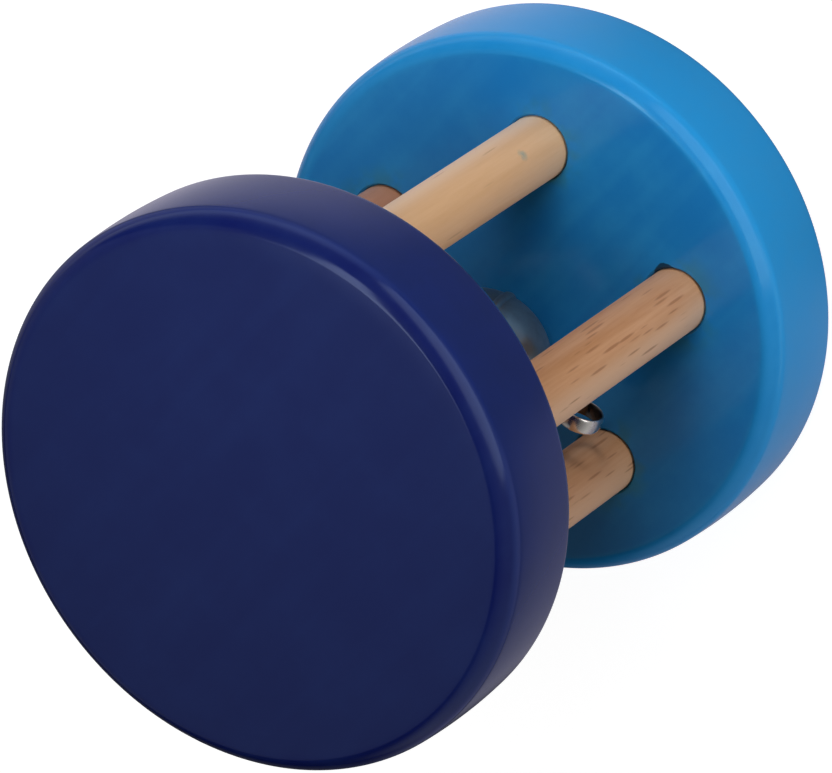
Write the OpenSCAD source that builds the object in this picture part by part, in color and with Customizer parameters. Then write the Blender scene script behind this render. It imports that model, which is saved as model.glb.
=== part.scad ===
// Wooden bell rattle for a baby: two painted discs joined by a ring of five
// bare dowels, with a loose jingle bell trapped in the cage between them.
// Millimetres. The origin is the centre of the sky blue disc's outer face,
// which the rattle stands on, and +Z runs along the rattle's axis.

/* [Discs] */
// Diameter of each disc
disc_d = 68; // [60:0.5:80]
// Thickness of each disc
disc_t = 15; // [13:0.5:20]
// Radius of the sanded edge all round each disc
disc_edge_r = 2.3; // [0.8:0.1:4]

/* [Dowel cage] */
// Distance between the inner faces of the two discs
cage_h = 49; // [40:0.5:60]
// Diameter of the circle through the dowels' centres
pitch_d = 41.4; // [38:0.2:44]
// Diameter of the dowels
dowel_d = 8; // [7:0.1:9]
// Length of each dowel end that is glued into its disc
dowel_seat = 10; // [6:0.5:11]
// Chamfer on the ends of the dowels
dowel_chamfer = 0.8; // [0.3:0.1:1.5]
// Bevel at the mouth of each socket
socket_bevel = 0.3; // [0.1:0.05:0.6]
// Radial room for glue between a dowel and its socket
socket_clear = 0.05; // [0.02:0.01:0.1]
// Room for glue under the end of each dowel
glue_gap = 0.4; // [0.1:0.1:1]

/* [Bell shells] */
// Outer diameter of the bell's round wall
bell_d = 18; // [17:0.1:20]
// Thickness of the bell's sheet metal
bell_sheet = 0.45; // [0.35:0.05:0.7]
// Radius of the rolled seam's rounded section
seam_r = 0.7; // [0.5:0.05:1]
// How far the rolled seam stands out from the wall
seam_proud = 0.35; // [0.2:0.05:0.45]
// Room between the rolled lip and the upper shell
seam_clear = 0.03; // [0.01:0.01:0.05]
// Width of the two crossed sound slits
slit_w = 1.3; // [0.8:0.1:1.8]
// Angle from the lower pole to the slits' round ends
slit_reach = 50; // [40:1:60]
// Diameter of the slits' round ends
slit_end_d = 3; // [2:0.1:3.6]

/* [Bell loop and ball] */
// Width of the flat strip that the loop is bent from
strip_w = 2; // [1.4:0.1:2.4]
// Thickness of the loop's strip
strip_t = 0.5; // [0.4:0.05:0.6]
// Outer diameter of the loop's eye
eye_d = 5.6; // [5:0.1:6.4]
// Length of the twin-legged neck between the bell and the eye
neck_h = 2.2; // [1:0.1:3]
// Slot between the two legs
leg_split = 0.2; // [0.1:0.05:0.3]
// Length of each leg where it is spread inside the bell
leg_l = 3; // [2:0.1:3.6]
// Angle by which the spread legs dip below square
leg_dip = 12; // [8:1:14]
// Room between the legs and the upper shell
leg_clear = 0.05; // [0.02:0.01:0.1]
// Diameter of the loose ball inside the bell
pellet_d = 6; // [5:0.1:7]

/* [Bell at rest] */
// Clearance of a loose piece from what it lies on
loose_clear = 0.2; // [0.1:0.05:0.4]
// Compass angle at which the bell lies off the rattle's axis
lie_angle = 113; // [90:1:150]
// Share of the bell's sideways play that it has rolled off the axis
lie_share = 0.56; // [0:0.02:0.9]
// Compass angle that the loop points to
loop_turn = 200; // [186:1:214]
// Angle by which the loop dips below level
loop_dip = 8; // [0:1:12]
// Angle by which the bell is rolled about its own axis
bell_roll = -95; // [-110:1:-80]

/* [Hidden] */
$fn = 96;

dowel_count = 5;
first_dowel_angle = 90;
dowel_pitch_angle = 360 / dowel_count;
dowel_l = cage_h + 2 * dowel_seat;
total_h = cage_h + 2 * disc_t;
socket_depth = dowel_seat + glue_gap;
socket_d = dowel_d + 2 * socket_clear;

bell_r = bell_d / 2;
bell_inner_r = bell_r - bell_sheet;
bell_reach_r = bell_r + seam_proud;
seam_centre_r = bell_reach_r - seam_r;
slit_end_r = bell_r * sin(slit_reach);
slit_end_z = bell_r * cos(slit_reach);

eye_centre_z = bell_r + neck_h + eye_d / 2;
neck_w = 2 * strip_t + leg_split;
neck_hole_d = sqrt(pow(strip_w, 2) + pow(neck_w, 2)) + 2 * leg_clear;
leg_tip_z = sqrt(pow(bell_inner_r, 2) - pow(strip_w / 2, 2) - pow(leg_l, 2))
    - strip_t / 2 - 2 * leg_clear;
leg_root_z = leg_tip_z + leg_l * sin(leg_dip);

sideways_play = pitch_d / 2 - dowel_d / 2 - bell_reach_r - loose_clear;
bell_off_axis = lie_share * sideways_play;
bell_place = [
    bell_off_axis * cos(lie_angle),
    bell_off_axis * sin(lie_angle),
    disc_t + loose_clear + bell_reach_r
];
pellet_drop = bell_inner_r - pellet_d / 2 - loose_clear;

// Overshoot of cutting shapes past the faces that they open
past = 1;

navy = "midnightblue";
sky_blue = "dodgerblue";
beech = "burlywood";
pale_beech = "wheat";
nickel = "silver";
steel = "gray";

// Half section of a disc: a plate whose two outer corners are rounded.
module disc_section() {
    square([disc_d / 2 - disc_edge_r, disc_t]);
    translate([0, disc_edge_r])
        square([disc_d / 2, disc_t - 2 * disc_edge_r]);
    for (z = [disc_edge_r, disc_t - disc_edge_r])
        translate([disc_d / 2 - disc_edge_r, z])
            circle(r = disc_edge_r);
}

// Repeats a shape at one dowel's place on the pitch circle.
module at_dowel(index) {
    rotate([0, 0, first_dowel_angle + index * dowel_pitch_angle])
        translate([pitch_d / 2, 0, 0])
            children();
}

// Blind socket sunk from z = 0, with a bevelled mouth.
module socket_cut() {
    translate([0, 0, -socket_depth])
        cylinder(d = socket_d, h = socket_depth + past);
    translate([0, 0, -socket_bevel])
        cylinder(d1 = socket_d, d2 = socket_d + 2 * socket_bevel, h = socket_bevel);
}

// Turned disc that lies on z = 0, with its ring of sockets in the upper face.
module turned_disc() {
    difference() {
        rotate_extrude()
            disc_section();
        for (index = [0 : dowel_count - 1])
            at_dowel(index)
                translate([0, 0, disc_t])
                    socket_cut();
    }
}

module sky_disc() {
    color(sky_blue)
        turned_disc();
}

// The same disc turned over about the Y axis, on which the first socket lies,
// so that its sockets face down and meet the same dowels.
module navy_disc() {
    color(navy)
        translate([0, 0, total_h])
            rotate([0, 180, 0])
                turned_disc();
}

// Round bare dowel with a chamfer at each end.
module dowel(index) {
    straight_l = dowel_l - 2 * dowel_chamfer;
    at_dowel(index)
        translate([0, 0, disc_t - dowel_seat]) {
            cylinder(d1 = dowel_d - 2 * dowel_chamfer, d2 = dowel_d, h = dowel_chamfer);
            translate([0, 0, dowel_chamfer])
                cylinder(d = dowel_d, h = straight_l);
            translate([0, 0, dowel_chamfer + straight_l])
                cylinder(d1 = dowel_d, d2 = dowel_d - 2 * dowel_chamfer, h = dowel_chamfer);
        }
}

// Puts the bell where it lies: its own +Z, which carries the loop, dips a
// little below level and points out between two dowels.
module at_bell() {
    translate(bell_place)
        rotate([0, 90 + loop_dip, loop_turn])
            rotate([0, 0, bell_roll])
                children();
}

// Half plane on the right of the bell's axis, above or below its seam.
module half_plane(upper) {
    side = bell_d + 2 * seam_r;
    translate([0, upper ? 0 : -side])
        square([side, side]);
}

// Section of the bell's round wall on one side of the seam.
module wall_section(upper) {
    intersection() {
        difference() {
            circle(r = bell_r);
            circle(r = bell_inner_r);
        }
        half_plane(upper);
    }
}

// Section of the rolled seam. Below the seam it is one with the wall, and
// above it a thin lip folds over the upper shell's rim.
module seam_section() {
    difference() {
        translate([seam_centre_r, 0])
            circle(r = seam_r);
        circle(r = bell_inner_r);
        intersection() {
            circle(r = bell_r + seam_clear);
            half_plane(true);
        }
    }
}

// Crossed slits through the lower pole, each with two round ends.
module sound_slits() {
    for (turn = [0, 90])
        rotate([0, 0, turn]) {
            translate([-slit_w / 2, -slit_end_r, -bell_r - past])
                cube([slit_w, 2 * slit_end_r, bell_r + past - slit_end_z]);
            for (side = [-1, 1])
                rotate([side * slit_reach, 0, 0])
                    translate([0, 0, -bell_r - past])
                        cylinder(d = slit_end_d, h = bell_r);
        }
}

module bell_upper_shell() {
    color(nickel)
        at_bell()
            difference() {
                rotate_extrude()
                    wall_section(true);
                cylinder(d = neck_hole_d, h = bell_r + past);
            }
}

module bell_lower_shell() {
    color(nickel)
        at_bell()
            difference() {
                rotate_extrude() {
                    wall_section(false);
                    seam_section();
                }
                sound_slits();
            }
}

// Side view of the bent strip: a round eye, a neck of two legs side by side
// and the legs' ends, spread inside the bell. The slot parts the legs up to
// the eye's hole.
module loop_section() {
    difference() {
        union() {
            translate([0, eye_centre_z])
                circle(d = eye_d);
            translate([-neck_w / 2, leg_root_z])
                square([neck_w, eye_centre_z - leg_root_z]);
            for (lean = [-leg_dip, 180 + leg_dip])
                translate([0, leg_root_z])
                    rotate(lean)
                        translate([0, -strip_t / 2])
                            square([leg_l, strip_t]);
        }
        translate([0, eye_centre_z])
            circle(d = eye_d - 2 * strip_t);
        translate([-leg_split / 2, 0])
            square([leg_split, eye_centre_z]);
    }
}

module bell_loop() {
    color(nickel)
        at_bell()
            rotate([90, 0, 90])
                linear_extrude(height = strip_w, center = true)
                    loop_section();
}

// Loose ball at the lowest place in the bell's hollow.
module bell_pellet() {
    color(steel)
        translate(bell_place - [0, 0, pellet_drop])
            sphere(d = pellet_d);
}

sky_disc();
navy_disc();
color(beech) dowel(0);  // dowel_1
color(beech) dowel(1);  // dowel_2
color(beech) dowel(2);  // dowel_3
color(pale_beech) dowel(3);  // dowel_4
color(beech) dowel(4);  // dowel_5
bell_upper_shell();
bell_lower_shell();
bell_loop();
bell_pellet();
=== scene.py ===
# %% [markdown]
# # A wooden bell rattle, dressed in Blender
# The rattle is two painted wooden discs, five bare dowels between them and a loose jingle bell in the
# cage. Its pieces come in as a fixed frame of solids at their real size. This lesson makes the surfaces
# that the eye sees: sanded edges, sockets, wood grain, gloss paint and bright plated metal.

# %% Load the frame
import math

import bmesh
import bpy
import numpy as np
from mathutils import Euler, Matrix, Vector


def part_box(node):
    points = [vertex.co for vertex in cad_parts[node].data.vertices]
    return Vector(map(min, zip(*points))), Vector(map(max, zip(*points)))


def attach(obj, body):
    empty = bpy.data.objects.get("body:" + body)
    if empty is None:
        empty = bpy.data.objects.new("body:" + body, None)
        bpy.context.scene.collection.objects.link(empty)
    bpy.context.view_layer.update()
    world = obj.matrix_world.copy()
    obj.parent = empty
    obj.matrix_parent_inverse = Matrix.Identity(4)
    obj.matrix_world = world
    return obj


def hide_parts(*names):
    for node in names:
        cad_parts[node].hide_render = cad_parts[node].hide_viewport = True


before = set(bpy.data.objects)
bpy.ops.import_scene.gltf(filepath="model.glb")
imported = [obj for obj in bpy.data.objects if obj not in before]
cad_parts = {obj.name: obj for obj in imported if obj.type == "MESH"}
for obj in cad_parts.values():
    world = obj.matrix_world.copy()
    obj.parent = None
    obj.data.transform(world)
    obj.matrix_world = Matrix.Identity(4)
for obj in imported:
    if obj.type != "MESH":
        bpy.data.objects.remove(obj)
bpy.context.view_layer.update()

MM = 0.001
print("nodes:", sorted(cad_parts))

# %% [markdown]
# ## Read the main sizes from the solids
# A piece fits only if its numbers come from the same place as the solids'. So the radii, heights and
# centres below are read from the boxes of the nodes, and only what a box can't tell, such as the radius
# of a sanded edge, is written as a size in millimetres.

# %% Main sizes
sky_low, sky_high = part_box("sky_disc")
navy_low, navy_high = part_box("navy_disc")
DISC_R = (sky_high.x - sky_low.x) / 2
DISC_T = sky_high.z - sky_low.z
DISC_EDGE_R = 2.3 * MM
RATTLE_H = navy_high.z
RATTLE_CENTRE = Vector((0, 0, RATTLE_H / 2))

DOWELS = ["dowel_1", "dowel_2", "dowel_3", "dowel_4", "dowel_5"]
dowel_boxes = [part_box(node) for node in DOWELS]
dowel_centres = np.array([[(low.x + high.x) / 2, (low.y + high.y) / 2] for low, high in dowel_boxes])
DOWEL_R = (dowel_boxes[0][1].x - dowel_boxes[0][0].x) / 2
PITCH_R = float(np.hypot(*dowel_centres[0]))
print("disc", DISC_R / MM, "x", DISC_T / MM, "| dowel", DOWEL_R / MM, "on", round(PITCH_R / MM, 2))

# %% [markdown]
# ## Camera
# The photograph looks down on the standing rattle from the front, and the picture is turned so that the
# navy disc comes towards the lower left. A camera is a place and three directions: where its back points,
# and what it calls right and up. Azimuth and elevation give the back, and the roll turns right and up
# about it. A long lens from almost a metre away keeps the two discs nearly the same size.

# %% Make the camera
VIEW_AZIMUTH = math.radians(-9.23)
VIEW_ELEVATION = math.radians(53.03)
VIEW_ROLL = math.radians(-124.47)
VIEW_DISTANCE = 900.3 * MM
VIEW_LENS_MM = 334.4
VIEW_OFFSET = (0.72 * MM, 0.99 * MM)


def view_axes(azimuth, elevation, roll):
    """Right, up and back of a camera: back comes from the two angles, and the roll turns right about it."""
    flat = math.cos(elevation)
    back = Vector((math.sin(azimuth) * flat, -math.cos(azimuth) * flat, math.sin(elevation)))
    level_right = Vector((math.cos(azimuth), math.sin(azimuth), 0))
    right = math.cos(roll) * level_right + math.sin(roll) * back.cross(level_right)
    return right, back.cross(right), back


right, up, back = view_axes(VIEW_AZIMUTH, VIEW_ELEVATION, VIEW_ROLL)
aim = RATTLE_CENTRE - VIEW_OFFSET[0] * right - VIEW_OFFSET[1] * up
camera_data = bpy.data.cameras.new("photo_camera")
camera_data.lens = VIEW_LENS_MM
camera = bpy.data.objects.new("photo_camera", camera_data)
turn = Matrix((right, up, back)).transposed().to_4x4()
camera.matrix_world = Matrix.Translation(aim + VIEW_DISTANCE * back) @ turn
bpy.context.scene.collection.objects.link(camera)
bpy.context.scene.camera = camera
print("camera at", [round(v, 3) for v in camera.location])

# %% [markdown]
# ## Node helpers
# A material is a small network, and most of its lines would only create nodes and connect them. One helper
# does both: it makes a node, sets its settings, and for each named input either sets a value or, if it is
# given another node's output, draws the link. The others are short names for the sums, ramps and mixes that
# come up most.

# %% Helpers for nodes and groups
def add(tree, kind, inputs=None, **settings):
    """New node of a kind, with its settings, and its inputs set to values or linked to other outputs."""
    made = tree.nodes.new("ShaderNode" + kind)
    for name, value in settings.items():
        setattr(made, name, value)
    for name, value in (inputs or {}).items():
        if isinstance(value, bpy.types.NodeSocket):
            tree.links.new(value, made.inputs[name])
        else:
            made.inputs[name].default_value = value
    return made


def new_group(name, inputs, outputs):
    """Empty shader group with named inputs (name: (type, value)) and outputs (name: type)."""
    group = bpy.data.node_groups.new(name, "ShaderNodeTree")
    for label, (kind, value) in inputs.items():
        socket = group.interface.new_socket(label, in_out="INPUT", socket_type="NodeSocket" + kind)
        if value is not None:
            socket.default_value = value
    for label, kind in outputs.items():
        group.interface.new_socket(label, in_out="OUTPUT", socket_type="NodeSocket" + kind)
    print("group", name, "takes", list(inputs), "and gives", list(outputs))
    return group, group.nodes.new("NodeGroupInput").outputs, group.nodes.new("NodeGroupOutput").inputs


def ramp(tree, value, low, high, smooth=True):
    """Value from low to high, as 0 to 1, with soft ends if smooth."""
    kind = "SMOOTHSTEP" if smooth else "LINEAR"
    return add(tree, "MapRange", {"Value": value, "From Min": low, "From Max": high},
               interpolation_type=kind).outputs["Result"]


def math_node(tree, operation, first, second=0.0):
    """One sum, angle or other operation on one or two values."""
    return add(tree, "Math", {0: first, 1: second}, operation=operation).outputs[0]


def product(tree, first, second):
    """Two values multiplied. A mask limits an amount, or another mask, this way."""
    return math_node(tree, "MULTIPLY", first, second)


def weighted_sum(tree, first, first_weight, second, second_weight):
    """Two values added up, each times its own weight."""
    return math_node(tree, "ADD", product(tree, first, first_weight), product(tree, second, second_weight))


def vector_length(tree, vector):
    """Length of a vector: the root of the sum of its squares."""
    return add(tree, "VectorMath", {0: vector}, operation="LENGTH").outputs["Value"]


def mix_colour(tree, share, first, second):
    """Colour between first and second by a share from 0 to 1. A Mix node has sockets for several kinds of
    data: inputs 6 and 7 and output 2 are those for colours."""
    return add(tree, "Mix", {0: share, 6: first, 7: second}, data_type="RGBA").outputs[2]


# %% [markdown]
# ## Light, floor and background
# Gloss paint and metal show what stands round them, so a studio keeps two things apart: lamps that light,
# and pale cards that only show in the gloss. A lamp object can be either, because Blender can hide a lamp
# from diffuse rays or from glossy ones. The thin bright line where the flat face turns into the rounded
# edge mirrors a card overhead, and the wider band further out mirrors a low card in front. A dim panel
# behind, which is such a card too, lays a faint veil over the flat faces. The key and the fills only light.

# %% Lamps
def softbox(name, azimuth, elevation, distance, size, watts, slant=0, lights=True, mirrored=False):
    """A rectangular lamp at two angles from the rattle's centre, turned to face it and then slanted. It
    lights surfaces, or is mirrored in their gloss, or both."""
    direction = view_axes(math.radians(azimuth), math.radians(elevation), 0)[2]
    lamp_data = bpy.data.lights.new(name, "AREA")
    lamp_data.shape = "RECTANGLE"
    lamp_data.size, lamp_data.size_y = size
    lamp_data.energy = watts
    lamp = bpy.data.objects.new(name, lamp_data)
    lamp.visible_diffuse = lights
    lamp.visible_glossy = mirrored
    facing = direction.to_track_quat("Z", "Y").to_matrix() @ Matrix.Rotation(math.radians(slant), 3, "Z")
    lamp.matrix_world = Matrix.Translation(RATTLE_CENTRE + direction * distance) @ facing.to_4x4()
    bpy.context.scene.collection.objects.link(lamp)


STUDIO_R = 0.60

softbox("card_overhead", 92, 75, 0.57, (0.59, 0.10), 0.56, slant=16, lights=False, mirrored=True)
softbox("card_in_front", -14, 31, STUDIO_R, (0.74, 0.26), 0.88, lights=False, mirrored=True)
softbox("panel_behind", 148, 38, STUDIO_R, (0.80, 0.70), 0.38, lights=False, mirrored=True)
softbox("key_above", 21, 63, STUDIO_R, (0.30, 0.50), 1.43)
softbox("fill_left", -57, 4, STUDIO_R, (0.50, 0.18), 1.33)
softbox("fill_right", 34, 4, STUDIO_R, (0.45, 0.18), 1.50)
softbox("fill_near", 42, 68, 0.125, (0.08, 0.08), 0.048)
softbox("fill_behind", 168, 10, STUDIO_R, (0.60, 0.20), 0.30)
print(len(bpy.data.lights), "lamps")

# %% [markdown]
# ### Sky
# Rounded edges and metal also mirror the room low down at the sides. So the sky is black but for a glow on
# the right, which stands higher towards the front, and a wider one on the left. Only glossy rays see them,
# so they add no light of their own. The camera sees plain white, which gives the white background.

# %% World
RIGHT_SKY = 0.9
LEFT_SKY = 0.4
WHITE = (1, 1, 1, 1)

world = bpy.data.worlds.new("studio")
bpy.context.scene.world = world
world.use_nodes = True
tree = world.node_tree
tree.nodes.clear()
way = add(tree, "SeparateXYZ", {0: add(tree, "TexCoord").outputs["Generated"]}).outputs
rays = add(tree, "LightPath").outputs
slope = math_node(tree, "ADD", way["Z"], product(tree, way["Y"], 0.4))
low_right = product(tree, ramp(tree, way["X"], 0.20, 0.85), ramp(tree, slope, 0.36, 0.12))
leftward = math_node(tree, "ADD", way["X"], product(tree, way["Y"], 0.35))
low_left = product(tree, ramp(tree, leftward, -0.10, -0.50),
                   ramp(tree, way["Z"], 1.10, 0.25, smooth=False))
both_sides = weighted_sum(tree, low_right, RIGHT_SKY, low_left, LEFT_SKY)
in_gloss = product(tree, both_sides, rays["Is Glossy Ray"])
sky_light = add(tree, "Background", {"Color": WHITE, "Strength": in_gloss})
sky_seen = add(tree, "Background", {"Color": WHITE, "Strength": 1.0})
sky = add(tree, "MixShader", {0: rays["Is Camera Ray"], 1: sky_light.outputs[0], 2: sky_seen.outputs[0]})
add(tree, "OutputWorld", {"Surface": sky.outputs[0]})
bpy.context.scene.view_settings.view_transform = "Standard"
print("sky glow", RIGHT_SKY, "on the right and", LEFT_SKY, "on the left")

# %% [markdown]
# ### Floor
# The rattle stands on a plain sheet. One square does, so wide that its borders are never in the picture. It
# belongs to the stage and not to the part.

# %% Floor sheet
FLOOR_HALF = 3.0

floor_mesh = bpy.data.meshes.new("floor")
corners = [(-FLOOR_HALF, -FLOOR_HALF, 0), (FLOOR_HALF, -FLOOR_HALF, 0),
           (FLOOR_HALF, FLOOR_HALF, 0), (-FLOOR_HALF, FLOOR_HALF, 0)]
floor_mesh.from_pydata(corners, [], [(0, 1, 2, 3)])
floor = bpy.data.objects.new("floor", floor_mesh)
bpy.context.scene.collection.objects.link(floor)
print("floor", 2 * FLOOR_HALF, "m across")

# %% [markdown]
# ### What the floor shows
# The upright rims mirror the floor close to the rattle, so it has a soft pool of light on the right and a
# weaker one on the left for them to show, and its far sides glow a little for the metal. The camera sees
# another mix: a white glow plus a matte part, which takes the rattle's shadow.

# %% Floor white
FLOOR_GLOW = 0.95
FLOOR_GREY = (0.30, 0.30, 0.30, 1)
TABLE_GREY = (0.20, 0.20, 0.20, 1)
TABLE_TINT = (0.97, 0.91, 1.12, 1)
NEAR_RIGHT = 0.46
NEAR_LEFT = 0.22
FAR_SIDES = 0.36

floor_paint = bpy.data.materials.new("floor_white")
floor_paint.use_nodes = True
tree = floor_paint.node_tree
tree.nodes.clear()
place = add(tree, "TexCoord").outputs["Object"]
away = vector_length(tree, place)
sideways = math_node(tree, "DIVIDE", add(tree, "SeparateXYZ", {0: place}).outputs["X"], away)
right_side = ramp(tree, sideways, 0.35, 0.96)
left_side = ramp(tree, sideways, -0.50, -0.80)
pools = weighted_sum(tree, right_side, NEAR_RIGHT, left_side, NEAR_LEFT)
far = weighted_sum(tree, right_side, FAR_SIDES, left_side, FAR_SIDES)
is_near = ramp(tree, away, 120 * MM, 80 * MM)
is_far = ramp(tree, away, 100 * MM, 200 * MM)
table = weighted_sum(tree, pools, is_near, far, is_far)
matte = add(tree, "BsdfDiffuse", {"Color": TABLE_GREY})
mirrored = add(tree, "Emission", {"Color": TABLE_TINT, "Strength": table})
lit = add(tree, "AddShader", {0: matte.outputs[0], 1: mirrored.outputs[0]})
shaded = add(tree, "BsdfDiffuse", {"Color": FLOOR_GREY})
glow = add(tree, "Emission", {"Color": WHITE, "Strength": FLOOR_GLOW})
white = add(tree, "AddShader", {0: shaded.outputs[0], 1: glow.outputs[0]})
camera_ray = add(tree, "LightPath").outputs["Is Camera Ray"]
seen = add(tree, "MixShader", {0: camera_ray, 1: lit.outputs[0], 2: white.outputs[0]})
add(tree, "OutputMaterial", {"Surface": seen.outputs[0]})
floor_mesh.materials.append(floor_paint)
print("floor shows", NEAR_RIGHT, "on the right and", NEAR_LEFT, "on the left")

# %% [markdown]
# ## From grids of points to a closed mesh
# Every new piece is made of patches, and a patch is a grid of points that a formula fills at once. A grid
# gives its faces for free: each point joins its right, upper right and upper neighbours. Where two patches
# share a border they hold the same points, so points that agree are welded into one, and a quad whose
# corners fall together becomes a triangle. The result is a closed skin with no seams and no poles left open.

# %% Grid and weld
WELD = 0.001 * MM


def grid_quads(rows, columns, first):
    """Quads of a grid whose points are numbered row by row from first."""
    index = first + np.arange(rows * columns).reshape(rows, columns)
    corners = [index[:-1, :-1], index[:-1, 1:], index[1:, 1:], index[1:, :-1]]
    return np.stack(corners, axis=-1).reshape(-1, 4)


def weld(points, quads):
    """Points that agree to WELD become one. Each face keeps the corners that differ from the one before."""
    keys = np.round(points / WELD).astype(np.int64)
    _, kept, same = np.unique(keys, axis=0, return_index=True, return_inverse=True)
    quads = same.reshape(-1)[quads]
    differs = quads != np.roll(quads, 1, axis=1)
    is_face = differs.sum(axis=1) >= 3
    quads, differs = quads[is_face], differs[is_face]
    sides = differs.sum(axis=1)
    starts = np.concatenate([[0], np.cumsum(sides)[:-1]])
    return points[kept], quads[differs], starts


# %% [markdown]
# ### From patches to a piece
# The welded points and faces go into a mesh as whole arrays. Blender then turns all faces outwards, shades
# them smooth and keeps a crease only where two faces meet at a steep angle. Each piece rides on a body of
# the frame and stands for a solid. It prints how many edges are open: there are none.

# %% Make a piece
SHARP_ANGLE = math.radians(38)


def make_piece(name, patches, body, nodes):
    """Welds patches, each an array of rows x columns x 3, into one object that stands for CAD nodes."""
    counts = [patch.shape[0] * patch.shape[1] for patch in patches]
    firsts = np.concatenate([[0], np.cumsum(counts)[:-1]])
    quads = [grid_quads(*patch.shape[:2], first) for patch, first in zip(patches, firsts)]
    points = np.concatenate([patch.reshape(-1, 3) for patch in patches])
    points, corners, starts = weld(points, np.concatenate(quads))
    mesh = bpy.data.meshes.new(name)
    mesh.vertices.add(len(points))
    mesh.vertices.foreach_set("co", points.ravel())
    mesh.loops.add(len(corners))
    mesh.loops.foreach_set("vertex_index", corners.astype(np.int32))
    mesh.polygons.add(len(starts))
    mesh.polygons.foreach_set("loop_start", starts.astype(np.int32))
    mesh.update(calc_edges=True)
    skin = bmesh.new()
    skin.from_mesh(mesh)
    bmesh.ops.recalc_face_normals(skin, faces=skin.faces)
    open_edges = sum(not edge.is_manifold for edge in skin.edges)
    skin.to_mesh(mesh)
    skin.free()
    mesh.polygons.foreach_set("use_smooth", np.ones(len(mesh.polygons), dtype=bool))
    mesh.set_sharp_from_angle(angle=SHARP_ANGLE)
    piece = bpy.data.objects.new(name, mesh)
    bpy.context.scene.collection.objects.link(piece)
    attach(piece, body)
    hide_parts(*nodes)
    print(name, len(mesh.vertices), "points,", len(mesh.polygons), "faces,", open_edges, "open edges")
    return piece


# %% [markdown]
# ## The two discs
# Each disc is sawn from beech, turned, sanded by hand until its edges are round, and dipped in paint. A
# bevelled cylinder would do from far away, but three things show close up. Sanding has pressed the rounded
# edge flatter half way along its curve, most of all at the front, so its highlight widens and wavers. The
# rim bulges a little, so reflections fade on it instead of ending at a line. And the dowels stand in real
# sockets, with a dark line where each goes in. The first two are a profile that is turned about the axis and
# changes with the angle.

# %% Outer face, rounded edges and rim
RIM_PROUD = 0.12 * MM
RIM_LEAN = math.radians(4)
EDGE_FLATTENING = 0.28 * MM
FLAT_SIDE = math.radians(-110)
LEAST_PRESSURE = 0.25
FACE_ROWS = 14
EDGE_ROWS = 25
RIM_ROWS = 18
ARC_STEPS = 64
PETALS = len(DOWELS)
PETAL_HALF = math.pi / PETALS
RIM_R = DISC_R + RIM_PROUD
edge_depth = DISC_EDGE_R * (1 - math.sin(RIM_LEAN))
RIM_BULGE = (DISC_T - 2 * edge_depth) * math.tan(RIM_LEAN) / 4
FACE_R = RIM_R - RIM_BULGE - DISC_EDGE_R * math.cos(RIM_LEAN)
first_dowel_angle = math.atan2(dowel_centres[0][1], dowel_centres[0][0])
ring_angles = first_dowel_angle - PETAL_HALF + np.linspace(0, 2 * math.pi, PETALS * ARC_STEPS + 1)


def revolve(radius, height, angles):
    """Grid of a profile turned about Z: a row for each profile point, a column for each angle."""
    radius = np.broadcast_to(np.asarray(radius).reshape(len(radius), -1), (len(radius), len(angles)))
    height = np.broadcast_to(np.asarray(height).reshape(len(height), -1), radius.shape)
    return np.stack([radius * np.cos(angles), radius * np.sin(angles), height], axis=-1)


def sanding_waves(angles, shift):
    """Uneven pressure of the sanding block round the edge: one big wave with its crest at the front, and
    three small sines, divided by twice the sum of their sizes to lie in 0..1, and squared."""
    waves = 2.2 * np.cos(angles - FLAT_SIDE) + 0.4 * np.sin(2 * angles + shift)
    waves = waves + 0.3 * np.sin(5 * angles + 2.3 * shift) + 0.2 * np.sin(11 * angles + 0.6 + shift)
    return (0.5 + waves / 6.2) ** 2


def edge_and_faces(shift):
    """Outer face, rounded edge, rim and second rounded edge, from the middle to the inner face's border.
    The rim is a shallow parabola, and the edges are arcs that meet it without a corner. Sanding presses
    the arcs in most at half way, by the square of the sine of the share of the arc."""
    arc = np.linspace(0, math.pi / 2 - RIM_LEAN, EDGE_ROWS)
    face_r = np.linspace(0, FACE_R, FACE_ROWS)[:-1]
    rim_z = np.linspace(edge_depth, DISC_T - edge_depth, RIM_ROWS)[1:-1]
    rim_share = (2 * rim_z - DISC_T) / (DISC_T - 2 * edge_depth)
    rim_r = RIM_R - RIM_BULGE * rim_share ** 2
    pressure = LEAST_PRESSURE + (1 - LEAST_PRESSURE) * sanding_waves(ring_angles, shift)
    press = EDGE_FLATTENING * np.outer(np.sin(math.pi * arc / arc[-1]) ** 2, pressure)
    arc_r = DISC_EDGE_R - press
    turn_out = FACE_R + arc_r * np.sin(arc)[:, None]
    drop = DISC_EDGE_R - arc_r * np.cos(arc)[:, None]
    columns = np.ones((1, len(ring_angles)))
    radius = np.concatenate([face_r[:, None] * columns, turn_out,
                             rim_r[:, None] * columns, turn_out[::-1]])
    height = np.concatenate([np.zeros((len(face_r), 1)) * columns, drop,
                             rim_z[:, None] * columns, (DISC_T - drop)[::-1]])
    return revolve(radius, height, ring_angles)


print("flat face", round(FACE_R / MM, 2), "mm, rim", round(RIM_R / MM, 2), "mm from the axis")

# %% [markdown]
# ### Inner face and its sockets
# A cut with a boolean would leave long thin faces between the sockets, and they shade badly under gloss. So
# the inner face is laid out as five petals, each a fan of straight rays from its own socket's mouth to the
# petal's border. The same rays go on over the bevel and down the wall to the socket's floor.

# %% Petal with a socket
SOCKET_CLEAR = 0.05 * MM
SOCKET_BEVEL = 0.3 * MM
SOCKET_R = DOWEL_R + SOCKET_CLEAR
SOCKET_DEPTH = 10.4 * MM
LINE_STEPS = 22
RAY_ROWS = 12


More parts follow.
